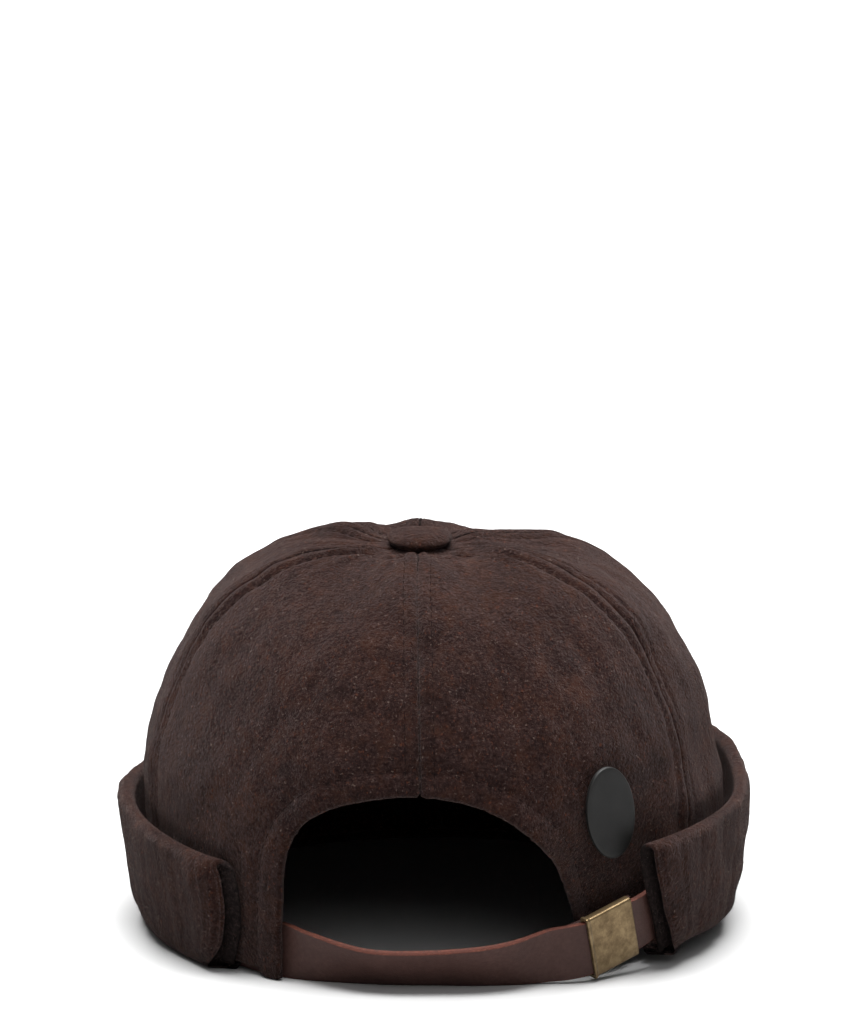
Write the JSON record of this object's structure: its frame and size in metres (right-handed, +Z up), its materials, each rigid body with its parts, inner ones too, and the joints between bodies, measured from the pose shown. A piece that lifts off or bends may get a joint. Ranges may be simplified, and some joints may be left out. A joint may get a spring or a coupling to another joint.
{
  "type": "watch cap",
  "caption": "Brimless wool cap with sewn gores, a turned-up cuff, a covered top button, a plain metal plate and an arched back opening closed by a buckled leather strap.",
  "frame": {"origin": "centre of the bounding box in X and Y, at the height of the surface that the cap stands on", "axes": "+Z up, the front faces -Y, the open back faces +Y, +X is the wearer's left"},
  "size_m": [0.199, 0.2008, 0.1261],
  "materials": {
    "wool": "brushed melange wool, matt",
    "leather": "smooth, slightly glossy",
    "brass": "antique, satin",
    "black_metal": "matt black"
  },
  "bodies": {
    "root": {"front_left_panel": "wool", "side_left_panel": "wool", "back_left_panel": "wool", "back_right_panel": "wool", "side_right_panel": "wool", "front_right_panel": "wool", "cuff": "wool", "top_button": "wool", "strap": "leather", "buckle_tab": "leather", "buckle": "brass", "badge": "black_metal"}
  },
  "joints": []
}
